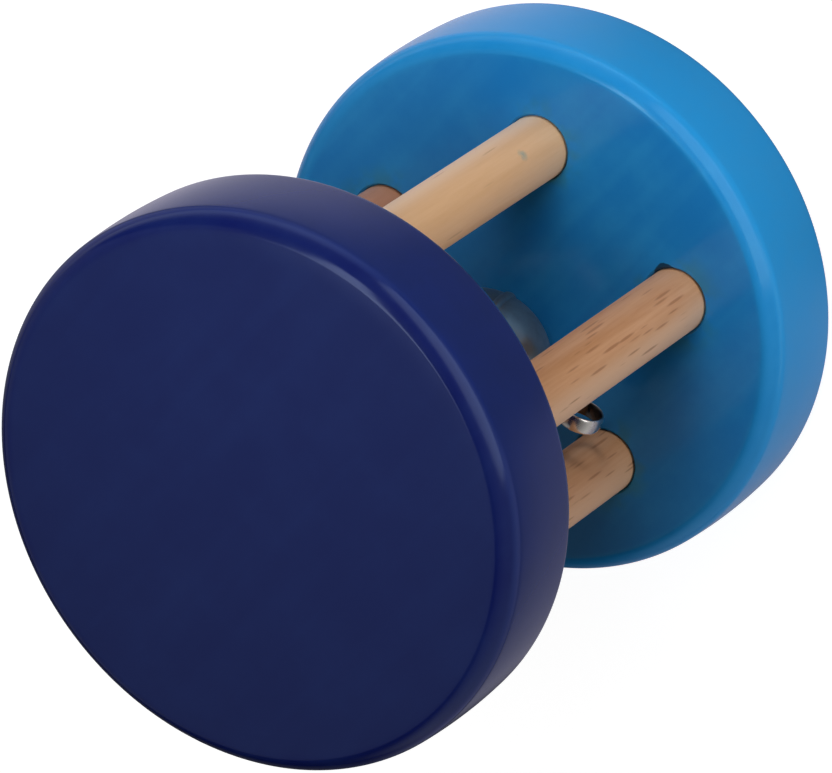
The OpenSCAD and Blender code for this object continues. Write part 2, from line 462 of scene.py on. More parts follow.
def socket_petal(middle):
    """One fifth of the inner face with its socket. Rows go from the socket's floor up its wall, over the
    bevel and along straight rays to the petal's border, and the steps grow with the square of the row."""
    line = np.linspace(0, FACE_R, LINE_STEPS + 1)
    arc = np.linspace(-PETAL_HALF, PETAL_HALF, ARC_STEPS + 1)
    reach = np.concatenate([line[:-1], np.full(len(arc), FACE_R), line[::-1][1:]])
    angle = np.concatenate([np.full(LINE_STEPS, -PETAL_HALF), arc, np.full(LINE_STEPS, PETAL_HALF)])
    border = np.stack([reach * np.cos(angle), reach * np.sin(angle)], axis=-1)
    ray = border - [PITCH_R, 0]
    length = np.linalg.norm(ray, axis=1)
    ray = ray / length[:, None]
    wall_r = np.array([0, SOCKET_R, SOCKET_R, SOCKET_R + SOCKET_BEVEL])
    wall_z = DISC_T - np.array([SOCKET_DEPTH, SOCKET_DEPTH, SOCKET_BEVEL, 0])
    step = np.linspace(0, 1, RAY_ROWS)[1:, None] ** 2
    spread = wall_r[-1] + (length - wall_r[-1]) * step
    distance = np.concatenate([np.outer(wall_r, np.ones(len(length))), spread])
    height = np.concatenate([wall_z, np.full(len(step), DISC_T)])[:, None] * np.ones(len(length))
    x = PITCH_R + distance * ray[:, 0]
    y = distance * ray[:, 1]
    return np.stack([x * math.cos(middle) - y * math.sin(middle),
                     x * math.sin(middle) + y * math.cos(middle), height], axis=-1)


print("sockets", round(2 * SOCKET_R / MM, 2), "mm wide and", round(SOCKET_DEPTH / MM, 2), "mm deep")

# %% [markdown]
# ### Both discs
# One disc is built lying on the floor, with its sockets on top. The navy one is the same disc turned over at
# the other end of the dowels, sanded with other waves so that the two don't look copied.

# %% Sky blue and navy disc
def painted_disc(name, node, shift, upside_down):
    """All patches of one disc with its outer face at height 0, turned over for the upper disc."""
    middles = first_dowel_angle + np.arange(PETALS) * 2 * PETAL_HALF
    patches = [edge_and_faces(shift)] + [socket_petal(middle) for middle in middles]
    if upside_down:
        patches = [patch * [1, 1, -1] + [0, 0, RATTLE_H] for patch in patches]
    return make_piece(name, patches, "frame", [node])


sky_disc = painted_disc("painted_sky_disc", "sky_disc", 0.4, False)
navy_disc = painted_disc("painted_navy_disc", "navy_disc", 2.9, True)

# %% [markdown]
# ## The dowels
# Dowels are bought as rods, cut to length, chamfered so that they find their sockets, and glued in. A rod
# that has been sanded is a little flat here and there, so the radius is drawn in by slow waves along and
# round the rod. The waves only take wood away, because the rod still has to go into its socket.

# %% Shape of a bare dowel
DOWEL_CHAMFER = 0.8 * MM
DOWEL_HOLLOWS = 0.035 * MM
DOWEL_COLUMNS = 97
DOWEL_ROWS = 44


def bare_dowel(name, node, shift):
    """Rod along Z: radius minus waves of the angle and the height, chamfered and closed at both ends."""
    low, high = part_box(node)
    centre = [(low.x + high.x) / 2, (low.y + high.y) / 2, 0]
    angles = np.linspace(0, 2 * math.pi, DOWEL_COLUMNS)
    body_z = np.linspace(low.z + DOWEL_CHAMFER, high.z - DOWEL_CHAMFER, DOWEL_ROWS)
    height = np.concatenate([[low.z, low.z], body_z, [high.z, high.z]])
    tip_r = DOWEL_R - DOWEL_CHAMFER
    radius = np.concatenate([[0, tip_r], np.full(len(body_z), DOWEL_R), [tip_r, 0]])
    along = (height - low.z) / (high.z - low.z) * 2 * math.pi
    waves = np.sin(3 * angles + shift + np.sin(along + shift)[:, None])
    waves = waves + 0.6 * np.sin(7 * angles - 2 * shift + 1.5 * along[:, None])
    press = DOWEL_HOLLOWS * (0.5 + waves / 3.2) * (radius[:, None] > tip_r)
    rod = revolve(radius[:, None] - press, height, angles) + centre
    return make_piece(name, [rod], "frame", [node])


dowels = [bare_dowel("bare_" + node, node, 1.3 * k) for k, node in enumerate(DOWELS)]

# %% [markdown]
# ## The jingle bell
# The bell is pressed from two cups of thin sheet. The upper one is smooth and has a hole for the loop. The
# lower one is slit crosswise, so that the sound gets out, and its rim is rolled over the upper one's to
# hold the two together. The bell has come to rest on its side, so it is shaped upright about its own
# centre first and then turned and moved as one.

# %% Sizes and place of the bell
BELL_R = 9.0 * MM
BELL_SHEET = 0.45 * MM
BELL_INNER_R = BELL_R - BELL_SHEET
LOOP_TURN = math.radians(200)
LOOP_DIP = math.radians(8)
BELL_ROLL = math.radians(-95)
LOOSE_CLEAR = 0.2 * MM
pellet_low, pellet_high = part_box("bell_pellet")
pellet_r = (pellet_high.z - pellet_low.z) / 2
bell_centre = (pellet_low + pellet_high) / 2
bell_centre.z += BELL_INNER_R - pellet_r - LOOSE_CLEAR
bell_turn = np.array((Euler((0, math.pi / 2 + LOOP_DIP, LOOP_TURN)).to_matrix()
                      @ Matrix.Rotation(BELL_ROLL, 3, "Z")))


def at_bell(points):
    """Turns points from the bell's own axes, with the loop on +Z, and moves them to where the bell lies."""
    return points @ bell_turn.T + np.array(bell_centre)


print("bell centre in millimetres:", [round(v / MM, 2) for v in bell_centre])

# %% [markdown]
# ### Upper cup
# A closed profile turned about the axis: out along the sphere from the hole to the seam, then back along
# the inside. The last point repeats the first, so the wall has its true thickness and no open edge.

# %% Upper cup
NECK_HOLE_R = 1.216 * MM
CUP_ROWS = 40
BELL_COLUMNS = 129
bell_angles = np.linspace(0, 2 * math.pi, BELL_COLUMNS)


def upper_cup():
    """Profile of two circle arcs, at the outer and the inner radius, joined at the hole and at the seam."""
    outer = np.linspace(math.asin(NECK_HOLE_R / BELL_R), math.pi / 2, CUP_ROWS)
    inner = np.linspace(math.pi / 2, math.asin(NECK_HOLE_R / BELL_INNER_R), CUP_ROWS)
    radius = np.concatenate([BELL_R * np.sin(outer), BELL_INNER_R * np.sin(inner)])
    height = np.concatenate([BELL_R * np.cos(outer), BELL_INNER_R * np.cos(inner)])
    radius = np.append(radius, radius[0])
    height = np.append(height, height[0])
    return revolve(radius, height, bell_angles)


bell_upper = make_piece("bell_upper_cup", [at_bell(upper_cup())], "bell", ["bell_upper_shell"])

# %% [markdown]
# ### Crossed slits
# The lower cup has two slits that cross at its pole, each with a round hole at both ends, which keeps the
# sheet from tearing. The rows of the grid follow the angle from the pole. They are dense round the holes,
# so that these come out round, and they end where the rolled seam begins.

# %% Slits and rows
SLIT_HALF = 0.65 * MM
SLIT_REACH = math.radians(50)
SLIT_END_R = 1.5 * MM
SLIT_ROWS = 16
ROUND_END_ROWS = 22
ROUND_END_FROM = 0.35
WALL_ROWS = 14
SEAM_R = 0.7 * MM
SEAM_PROUD = 0.35 * MM
SEAM_CENTRE_R = BELL_R + SEAM_PROUD - SEAM_R
EIGHTH_TURN = math.pi / 4


def slit_half_width(polar):
    """Half the gap at an angle from the pole: the slit's own, or the round end's chord where it is wider."""
    from_end = BELL_R * (polar - SLIT_REACH)
    chord = np.sqrt(np.clip(SLIT_END_R ** 2 - from_end ** 2, 0, None))
    return np.maximum(np.where(polar < SLIT_REACH, SLIT_HALF, 0), chord)


def petal_rows():
    """Angles from the pole: the petal's tip, dense rows round the slit's end, then on to the seam."""
    tip = math.asin(SLIT_HALF / math.sin(EIGHTH_TURN) / BELL_R)
    end = SLIT_END_R / BELL_R
    round_end = SLIT_REACH - end * np.cos(np.linspace(ROUND_END_FROM, math.pi, ROUND_END_ROWS))
    seam_r = (BELL_R ** 2 + SEAM_CENTRE_R ** 2 - SEAM_R ** 2) / (2 * SEAM_CENTRE_R)
    seam_start = math.asin(seam_r / BELL_R)
    return np.concatenate([np.linspace(tip, round_end[0], SLIT_ROWS)[:-1], round_end,
                           np.linspace(round_end[-1], seam_start, WALL_ROWS)[1:]])


print(len(petal_rows()), "rows from the pole to the seam")

# %% [markdown]
# ### Lower cup
# The slits leave four petals that meet near the pole. Each petal is one grid: a row runs between the slits'
# edges, however wide they are at that height. Past the slits' round ends the rows reach the next petal and
# weld to it. The rows then go over the rolled seam and back down the inside, and two strips close the cut
# edges.

# %% Lower cup
SEAM_CLEAR = 0.03 * MM
SEAM_ROWS = 18
LIP_ROWS = 5
PETAL_COLUMNS = 33


def lower_cup():
    """Four petals, each a grid from tip to seam and back inside, with strips that close its cut edges. A
    petal's half angle is an eighth of a turn less the angle whose sine is the slit's share of the radius."""
    polar = petal_rows()
    slit_share = np.clip(slit_half_width(polar) / (BELL_R * np.sin(polar)), 0, math.sin(EIGHTH_TURN))
    half_angle = EIGHTH_TURN - np.arcsin(slit_share)
    bead_end = math.atan2(BELL_R * math.cos(polar[-1]), BELL_R * math.sin(polar[-1]) - SEAM_CENTRE_R)
    bead = np.linspace(-bead_end, bead_end, SEAM_ROWS)[1:]
    lip_r = BELL_R + SEAM_CLEAR
    lip = np.linspace(math.asin(SEAM_R * math.sin(bead_end) / lip_r), 0, LIP_ROWS)
    radius = np.concatenate([BELL_R * np.sin(polar), SEAM_CENTRE_R + SEAM_R * np.cos(bead),
                             lip_r * np.cos(lip), [BELL_INNER_R], BELL_INNER_R * np.sin(polar[::-1])])
    height = np.concatenate([-BELL_R * np.cos(polar), SEAM_R * np.sin(bead), lip_r * np.sin(lip), [0],
                             -BELL_INNER_R * np.cos(polar[::-1])])
    whole = np.full(len(bead) + len(lip) + 1, EIGHTH_TURN)
    half = np.concatenate([half_angle, whole, half_angle[::-1]])
    across = np.linspace(-1, 1, PETAL_COLUMNS)
    cut = slit_half_width(polar) > WELD
    cut[np.argmin(cut)] = True
    patches = []
    for quarter in range(4):
        angles = half[:, None] * across + quarter * math.pi / 2
        sheet = np.stack([radius[:, None] * np.cos(angles), radius[:, None] * np.sin(angles),
                          height[:, None] * np.ones(len(across))], axis=-1)
        outer, inner = sheet[:len(polar)][cut], sheet[::-1][:len(polar)][cut]
        patches += [sheet] + [np.stack([outer[:, side], inner[:, side]]) for side in (0, -1)]
    return patches


bell_lower = make_piece("bell_lower_cup", [at_bell(patch) for patch in lower_cup()], "bell",
                        ["bell_lower_shell"])

# %% [markdown]
# ### Path and section of the loop
# The loop is a flat strip, bent to an eye, with both legs pushed through the hole in the crown and spread
# inside. A profile carried along a path gives it. The path is a smooth spline, which needs only a few
# control points, and the profile is a flat oval, as tumbling leaves it.

# %% Spline and oval
def spline(points, steps):
    """Uniform cubic B-spline: each stretch blends four control points by the four cubic weights."""
    t = np.linspace(0, 1, steps, endpoint=False)[:, None]
    weights = [(1 - t) ** 3, 3 * t ** 3 - 6 * t ** 2 + 4, -3 * t ** 3 + 3 * t ** 2 + 3 * t + 1, t ** 3]
    spans = [points[k:len(points) - 3 + k, None, :] for k in range(4)]
    return sum(weight * span for weight, span in zip(weights, spans)).reshape(-1, points.shape[1]) / 6


def flat_oval(width, height, steps):
    """Closed outline of an ellipse: cosine times half the width, and sine times half the height."""
    angle = np.linspace(0, 2 * math.pi, steps + 1)
    return np.stack([np.cos(angle), np.sin(angle)], axis=-1) * [width / 2, height / 2]


# %% [markdown]
# ### Loop
# The path goes from one leg's tip up the neck, round the eye and down the other leg. It lies in one plane,
# so the profile needs no twist. At both ends the profile shrinks to a point, which closes them.

# %% Bent strip
STRIP_W = 2.0 * MM
STRIP_T = 0.5 * MM
OVAL_STEPS = 32
SPLINE_STEPS = 7
EYE_CENTRE = 14.0 * MM
EYE_R = 2.55 * MM
EYE_GAP = math.radians(26)
EYE_POINTS = 24
NECK_HALF = 0.35 * MM
NECK_HEIGHTS = [8.2 * MM, 8.8 * MM, 9.8 * MM, 10.8 * MM, 11.3 * MM]
LEG_TIP = (2.93 * MM, 7.6 * MM)
LEG_BEND = (0.9 * MM, 8.05 * MM)
TINY = 1e-12


def bent_strip():
    """Flat oval carried along a spline. The tip counts three times, because a spline only starts at a
    control point that does. Each oval stands square to the path's direction."""
    round_eye = np.linspace(EYE_GAP, 2 * math.pi - EYE_GAP, EYE_POINTS)
    eye = np.stack([EYE_R * np.sin(round_eye), EYE_CENTRE - EYE_R * np.cos(round_eye)], axis=-1)
    neck = [(NECK_HALF, height) for height in NECK_HEIGHTS]
    one_side = np.array([LEG_TIP, LEG_TIP, LEG_TIP, LEG_BEND] + neck)
    path = spline(np.concatenate([one_side, eye, one_side[::-1] * [-1, 1]]), SPLINE_STEPS)
    along = np.gradient(path, axis=0)
    along = along / np.maximum(np.linalg.norm(along, axis=1), TINY)[:, None]
    rows = np.concatenate([[0], np.arange(len(path)), [len(path) - 1]])
    size = np.ones(len(rows))
    size[[0, -1]] = 0
    across, through = flat_oval(STRIP_W, STRIP_T, OVAL_STEPS).T
    through = size[:, None] * through
    return np.stack([size[:, None] * across, path[rows, :1] + through * along[rows, 1:],
                     path[rows, 1:] - through * along[rows, :1]], axis=-1)


bell_loop = make_piece("bell_strip_loop", [at_bell(bent_strip())], "bell", ["bell_loop"])

# %% [markdown]
# ## Wood figure, shared by dowels and paint
# Beech has no bold rings. What shows is a fine fibre along the grain, slow bands of lighter and darker
# growth, and short dark flecks where the rays are cut lengthwise. All three are noise that is squeezed
# across the grain and drawn out along it. The same group gives the bare dowels their colour and the
# painted discs the faint lines that come through the paint.

# %% Wood figure group
def noise(tree, place, scale, detail, seed=None, **more):
    """Soft noise from 0 to 1. With a seed it is a slice of noise in four dimensions, so that each seed has a
    pattern of its own."""
    inputs = {"Vector": place, "Scale": scale, "Detail": detail, **more}
    if seed is None:
        return add(tree, "TexNoise", inputs).outputs["Fac"]
    return add(tree, "TexNoise", {**inputs, "W": seed}, noise_dimensions="4D").outputs["Fac"]


def wood_figure_group():
    """Noise with the grain axis scaled down, so that spots become streaks: bands, flecks and fibre."""
    group, given, out = new_group(
        "Wood Figure",
        {"Vector": ("Vector", None), "Grain Stretch": ("Float", 0.06), "Fleck Size": ("Float", 1750.0),
         "Fleck Amount": ("Float", 0.5), "Seed": ("Float", 0.0)},
        {"Bands": "Float", "Flecks": "Float", "Fibre": "Float"})
    squeeze = add(group, "CombineXYZ", {"X": 1.0, "Y": 1.0, "Z": given["Grain Stretch"]}).outputs[0]
    drawn = add(group, "VectorMath", {0: given["Vector"], 1: squeeze}, operation="MULTIPLY").outputs[0]
    fibre = noise(group, drawn, 2600.0, 3.0, given["Seed"], Roughness=0.6)
    bands = noise(group, drawn, 420.0, 2.0, given["Seed"], Roughness=0.45, Distortion=0.6)
    apart = add(group, "CombineXYZ", {"X": given["Seed"], "Y": given["Seed"]}).outputs[0]
    fleck_cell = add(group, "VectorMath", {0: given["Vector"], 1: (1.0, 1.0, 0.085), 2: apart},
                     operation="MULTIPLY_ADD").outputs[0]
    cells = add(group, "TexVoronoi", {"Vector": fleck_cell, "Scale": given["Fleck Size"]})
    chance = add(group, "SeparateColor", {0: cells.outputs["Color"]}).outputs
    reach = math_node(group, "ADD", 0.14, product(group, chance[1], 0.22))
    inside = ramp(group, math_node(group, "SUBTRACT", reach, cells.outputs["Distance"]), -0.06, 0.14)
    chosen = math_node(group, "LESS_THAN", chance[0], given["Fleck Amount"])
    flecks = product(group, inside, chosen)
    group.links.new(bands, out["Bands"])
    group.links.new(flecks, out["Flecks"])
    group.links.new(fibre, out["Fibre"])
    return group


wood_figure = wood_figure_group()

# %% [markdown]
# ## Gloss paint
# Dipped paint is a thin coloured film with a gloss of its own. It is never one colour: it pools a little
# darker here and thinner there, carries a few specks of dust, and shows the grain of the wood as very
# shallow lines. The film group works out that colour, the roughness and the height, and each paint further
# down feeds them to its shader.

# %% Paint film group
DUST_COLOUR = (0.004, 0.008, 0.02, 1)
DUST_CHANCE = 0.14


def paint_film_group():
    """Slow noise for pooled colour, tiny sparse dots for dust, grain and orange peel for the height."""
    group, given, out = new_group(
        "Paint Film",
        {"Vector": ("Vector", None), "Colour": ("Color", (0.5, 0.5, 0.5, 1)),
         "Thin Colour": ("Color", (0.6, 0.6, 0.6, 1)), "Pooling": ("Float", 0.7),
         "Speck Amount": ("Float", 0.3), "Gloss": ("Float", 0.12),
         "Gloss Wear": ("Float", 0.07), "Seed": ("Float", 0.0)},
        {"Colour": "Color", "Roughness": "Float", "Height": "Float"})
    figure = add(group, "Group", node_tree=wood_figure)
    turned = add(group, "Mapping", {"Vector": given["Vector"], "Rotation": (math.pi / 2, 0, 0.4)})
    group.links.new(turned.outputs[0], figure.inputs["Vector"])
    group.links.new(given["Seed"], figure.inputs["Seed"])
    figure.inputs["Grain Stretch"].default_value = 0.05
    slow = noise(group, given["Vector"], 110.0, 5.0, given["Seed"], Roughness=0.64)
    pooled = ramp(group, slow, 0.35, 0.72)
    grain = ramp(group, figure.outputs["Bands"], 0.40, 0.70)
    thin = product(group, weighted_sum(group, pooled, 0.7, grain, 0.3), given["Pooling"])
    film = mix_colour(group, thin, given["Colour"], given["Thin Colour"])
    dots = add(group, "TexVoronoi", {"Vector": given["Vector"], "W": given["Seed"], "Scale": 210.0},
               voronoi_dimensions="4D")
    chance = add(group, "SeparateColor", {0: dots.outputs["Color"]}).outputs[0]
    picked = math_node(group, "GREATER_THAN", chance, 1 - DUST_CHANCE)
    dot = math_node(group, "SUBTRACT", 1.0, ramp(group, dots.outputs["Distance"], 0.03, 0.085))
    speck = product(group, product(group, dot, picked), given["Speck Amount"])
    dark = mix_colour(group, speck, film, DUST_COLOUR)
    peel = noise(group, given["Vector"], 520.0, 2.0)
    rough = math_node(group, "ADD", given["Gloss"], product(group, slow, given["Gloss Wear"]))
    height = weighted_sum(group, peel, 0.6, figure.outputs["Fibre"], 0.4)
    group.links.new(dark, out["Colour"])
    group.links.new(rough, out["Roughness"])
    group.links.new(height, out["Height"])
    return group


paint_film = paint_film_group()

# %% [markdown]
# ## Distance to a socket
# Where a dowel goes into a painted disc, the paint is dark in places, partly chipped and partly with painted
# shade in the joint, and glue has smeared in others.
# Both follow the socket's mouth, so the network has to know how far the nearest dowel's axis is. All five
# dowels are alike, so the angle round the rattle is folded into one fifth of a turn, and then a single
# distance serves for all. A mask limits the marks to the inner faces, so the outer faces stay clean.

# %% Distance in a network
CAGE_HALF = (navy_low.z - sky_high.z) / 2


def axis_distance(tree, place):
    """Distance from the rattle's axis: the length of a place whose height is set to 0."""
    level = add(tree, "VectorMath", {0: place, 1: (1, 1, 0)}, operation="MULTIPLY").outputs[0]
    return vector_length(tree, level)


def socket_distance(tree, place):
    """Distance to the nearest dowel's axis: the angle is folded to one petal, then Pythagoras."""
    x, y, z = add(tree, "SeparateXYZ", {0: place}).outputs
    radius = axis_distance(tree, place)
    angle = math_node(tree, "SUBTRACT", math_node(tree, "ARCTAN2", y, x), first_dowel_angle)
    petals = math_node(tree, "DIVIDE", angle, 2 * PETAL_HALF)
    folded = math_node(tree, "SUBTRACT", petals, math_node(tree, "ROUND", petals))
    folded = product(tree, folded, 2 * PETAL_HALF)
    outward = product(tree, radius, math_node(tree, "COSINE", folded))
    sideways = product(tree, radius, math_node(tree, "SINE", folded))
    away = add(tree, "CombineXYZ", {"X": math_node(tree, "SUBTRACT", outward, PITCH_R), "Y": sideways})
    distance = vector_length(tree, away.outputs[0])
    from_middle = math_node(tree, "ABSOLUTE", math_node(tree, "SUBTRACT", z, RATTLE_H / 2))
    inner_face = ramp(tree, from_middle, CAGE_HALF + 1.2 * MM, CAGE_HALF + 0.6 * MM)
    return distance, inner_face


print("inner faces", round(CAGE_HALF / MM, 2), "mm from the rattle's middle")

# %% [markdown]
# ## Wear and painted shade round the sockets
# A chip is a dark rim of uneven width, and its near-black colour is also painted shade in the joint. One
# chip
# is bigger than the others: near its point the rim grows wide and ragged. Glue is a dull stain that fades
# with the distance and is broken up by the same slow noise that gives the chips their width.

# %% Socket wear and painted shade group
CHIP_AND_SHADE_WIDEST = 0.22 * MM
BIG_CHIP_AND_SHADE_WIDTH = 1.5 * MM
BIG_CHIP_AND_SHADE_REACH = 2.1 * MM
GLUE_REACH = 3.6 * MM


def socket_wear_and_shade_group():
    """Chips, with painted shade in the joint, are a rim whose width comes from slow noise, or near the big
    chip from fine noise. Glue is a wide halo broken up by the slow noise."""
    group, given, out = new_group("Socket Wear And Shade", {"Vector": ("Vector", None), "Big Chip And Shade": ("Vector", None),
                                                  "Seed": ("Float", 0.0)},
                                  {"Chips And Shade": "Float", "Glue": "Float"})
    distance, inner_face = socket_distance(group, given["Vector"])
    slow = noise(group, given["Vector"], 240.0, 3.0, given["Seed"])
    fine = noise(group, given["Vector"], 620.0, 4.0, given["Seed"])
    width = product(group, ramp(group, slow, 0.52, 0.66), CHIP_AND_SHADE_WIDEST)
    from_big_chip_and_shade = add(group, "VectorMath", {0: given["Vector"], 1: given["Big Chip And Shade"]}, operation="DISTANCE")
    near_big_chip_and_shade = ramp(group, from_big_chip_and_shade.outputs["Value"], BIG_CHIP_AND_SHADE_REACH, 0.3 * MM)
    ragged = product(group, product(group, fine, near_big_chip_and_shade), BIG_CHIP_AND_SHADE_WIDTH)
    edge = math_node(group, "ADD", SOCKET_R, math_node(group, "MAXIMUM", width, ragged))
    # dark rim at each socket's mouth: partly chipped paint, partly painted shade in the joint
    chips_and_shade = ramp(group, math_node(group, "SUBTRACT", edge, distance), -0.08 * MM, 0.12 * MM)
    halo = ramp(group, distance, SOCKET_R + GLUE_REACH, SOCKET_R)
    glue = product(group, halo, ramp(group, slow, 0.44, 0.60))
    group.links.new(product(group, chips_and_shade, inner_face), out["Chips And Shade"])
    group.links.new(product(group, glue, inner_face), out["Glue"])
    return group


socket_wear_and_shade = socket_wear_and_shade_group()

# %% [markdown]
# ## A material to start from
# Paint, wood and metal all start alike: an empty network, one shader that can be any of them, and the place
# of each point on its own object, by which the patterns are laid out.

# %% New material
def new_material(name):
    """Material with an empty network and a Principled shader on its output."""
    material = bpy.data.materials.new(name)
    material.use_nodes = True
    tree = material.node_tree
    tree.nodes.clear()
    shader = add(tree, "BsdfPrincipled")
    add(tree, "OutputMaterial", {"Surface": shader.outputs[0]})
    place = add(tree, "TexCoord").outputs["Object"]
    print("material", name)
    return material, tree, shader, place


# %% [markdown]
# ## The two paints
# Each paint puts the film's colour on the shader, stains it with glue near the sockets, darkens their mouths
# with chips and painted shade, and takes the film's height as a very shallow bump. Face, rounded edge and
# rim each have a tone of their own, which is painted light and shade: the rims are lighter for the light
# they catch, the faces darker for the shade in the cage, and the navy edge darkest for the dark band between
# its highlights. The gloss is a low roughness on the shader, and its reflections are tinted towards the
# paint's colour, because the top of the film holds pigment too.

# %% Navy and sky blue paint
# The chip colour is near black: it is painted shade in the joint round each dowel as well as chipped paint.
CHIP_AND_SHADE_COLOUR = (0.012, 0.020, 0.022, 1)
CHIP_AND_SHADE_SHARE = 0.85
GLUE_SHARE = 0.55
BIG_CHIP_AND_SHADE = (-8.3 * MM, -18.95 * MM, 15.0 * MM)


def gloss_paint(name, face, edge, rim, thin, glue, sheen, specks, seed):
    """Paint film whose tone on face, edge and rim is painted light and shade, with glue and with chips and
    painted shade at the sockets, and a shallow bump."""
    material, tree, shader, place = new_material(name)
    radius = axis_distance(tree, place)
    at_edge = ramp(tree, radius, FACE_R - 0.5 * MM, FACE_R + 0.5 * MM)
    at_rim = ramp(tree, radius, RIM_R - 0.9 * MM, RIM_R - 0.2 * MM)
    # the face, edge and rim tones are painted light on the rims and painted shade on the faces and navy edge
    lit_and_shaded_tone = mix_colour(tree, at_rim, mix_colour(tree, at_edge, face, edge), rim)
    film = add(tree, "Group", {"Vector": place, "Colour": lit_and_shaded_tone, "Thin Colour": thin,
                               "Speck Amount": specks, "Seed": seed}, node_tree=paint_film)
    bump = add(tree, "Bump", {"Height": film.outputs["Height"], "Strength": 0.05, "Distance": 0.02 * MM})
    wear_and_shade = add(tree, "Group", {"Vector": place, "Big Chip And Shade": BIG_CHIP_AND_SHADE, "Seed": seed}, node_tree=socket_wear_and_shade)
    glued = product(tree, wear_and_shade.outputs["Glue"], GLUE_SHARE)
    chipped_and_shaded = product(tree, wear_and_shade.outputs["Chips And Shade"], CHIP_AND_SHADE_SHARE)
    worn_and_shaded = mix_colour(tree, chipped_and_shaded, mix_colour(tree, glued, film.outputs["Colour"], glue), CHIP_AND_SHADE_COLOUR)
    tree.links.new(worn_and_shaded, shader.inputs["Base Color"])
    tree.links.new(film.outputs["Roughness"], shader.inputs["Roughness"])
    tree.links.new(bump.outputs[0], shader.inputs["Normal"])
    shader.inputs["Specular Tint"].default_value = sheen
    return material


# Lighter rims and darker faces and navy edge below are painted light and shade.
navy_paint = gloss_paint("navy_gloss_paint", face=(0.0083, 0.0152, 0.093, 1),
                         edge=(0.0050, 0.0095, 0.088, 1), rim=(0.0106, 0.0230, 0.140, 1),
                         thin=(0.0099, 0.0205, 0.110, 1), glue=(0.014, 0.026, 0.10, 1),
                         sheen=(0.56, 0.70, 1.0, 1), specks=0.35, seed=1.7)
sky_paint = gloss_paint("sky_gloss_paint", face=(0.016, 0.258, 0.71, 1), edge=(0.018, 0.31, 0.76, 1),
                        rim=(0.022, 0.36, 0.84, 1), thin=(0.034, 0.36, 0.80, 1),
                        glue=(0.045, 0.26, 0.36, 1), sheen=(0.58, 0.80, 0.80, 1), specks=0.7, seed=4.2)
navy_disc.data.materials.append(navy_paint)
sky_disc.data.materials.append(sky_paint)

# %% [markdown]
# ## A spot of stray paint
# A small smear of paint sits on the pale dowel, where a brush or a finger touched it. It could be a mesh of
# its own, but it has no thickness to see, so it is a mask round one point.

# %% Paint spot
PAINT_SPOT = (11.63 * MM, -20.71 * MM, 23.56 * MM)
PAINT_SPOT_COLOUR = (0.16, 0.34, 0.32, 1)


def paint_spot(tree, place):
    """Share of stray paint near one point: it fades with the distance and is broken up by fine noise."""
    offset = add(tree, "VectorMath", {0: place, 1: PAINT_SPOT}, operation="DISTANCE").outputs["Value"]
    ragged = noise(tree, place, 1500.0, 2.0)
    return product(tree, ramp(tree, offset, 1.0 * MM, 0.2 * MM), ramp(tree, ragged, 0.25, 0.60))


print("paint spot at", [round(v / MM, 2) for v in PAINT_SPOT], "mm")

# %% [markdown]
# ## Bare beech
# The dowels are sanded and left bare. Growth bands and fibre set the colour, flecks go over it, and both the
# fibre and the flecks give a shallow bump. Raised fibres catch the light near the outline, so the shader has
# a little sheen.

# %% Bare wood
FLECK_SHARE = 0.62
LIT_SIDE_SHARE = 0.8
SPOT_SHARE = 0.6


def bare_wood(name, light, dark, fleck, side, lit_side_edge, middle_x, fleck_amount, seed):
    """Growth bands mix two wood colours, and the side that the light falls on gets its own colour, which is
    painted light. Flecks and stray paint go over them, and fibre roughens them."""
    material, tree, shader, place = new_material(name)
    figure = add(tree, "Group", node_tree=wood_figure)
    tree.links.new(place, figure.inputs["Vector"])
    figure.inputs["Fleck Amount"].default_value = fleck_amount
    figure.inputs["Seed"].default_value = seed
    bands = ramp(tree, figure.outputs["Bands"], 0.30, 0.72)
    fibre = ramp(tree, figure.outputs["Fibre"], 0.30, 0.75)
    banded = mix_colour(tree, weighted_sum(tree, bands, 0.65, fibre, 0.35), light, dark)
    across = math_node(tree, "SUBTRACT", add(tree, "SeparateXYZ", {0: place}).outputs["X"], middle_x)
    # the side of the rod that the light falls on gets its own paler colour: painted light
    painted_lit_side = product(tree, ramp(tree, across, 0.3 * lit_side_edge, lit_side_edge), LIT_SIDE_SHARE)
    wood = mix_colour(tree, painted_lit_side, banded, side)
    flecked = mix_colour(tree, product(tree, figure.outputs["Flecks"], FLECK_SHARE), wood, fleck)
    spot = product(tree, paint_spot(tree, place), SPOT_SHARE)
    spotted = mix_colour(tree, spot, flecked, PAINT_SPOT_COLOUR)
    rough = math_node(tree, "ADD", 0.46, product(tree, figure.outputs["Fibre"], 0.22))
    height = math_node(tree, "SUBTRACT", figure.outputs["Fibre"], figure.outputs["Flecks"])
    bump = add(tree, "Bump", {"Height": height, "Strength": 0.25, "Distance": 0.03 * MM})
    tree.links.new(spotted, shader.inputs["Base Color"])
    tree.links.new(rough, shader.inputs["Roughness"])
    tree.links.new(bump.outputs[0], shader.inputs["Normal"])
    shader.inputs["Sheen Weight"].default_value = 0.25
    shader.inputs["Sheen Roughness"].default_value = 0.35
    return material


# %% [markdown]
# ### Five rods
# Two rods are never alike: one is almost white and plain, others are pinker, with rows of dark flecks. Most
# rods are also paler on the side that the light falls on, which is painted light. So each dowel gets its own
# colours, lit side, fleck amount and seed.

# %% Wood of each dowel
pinkish = ((0.69, 0.37, 0.195, 1), (0.55, 0.25, 0.098, 1), (0.34, 0.128, 0.042, 1))
pale = ((0.84, 0.52, 0.28, 1), (0.75, 0.435, 0.213, 1), (0.57, 0.32, 0.15, 1))
reddish = ((0.52, 0.24, 0.13, 1), (0.42, 0.178, 0.092, 1), (0.25, 0.094, 0.044, 1))
LIT_SIDE_REACH = 3.4 * MM
SEED_STEP = 2.7
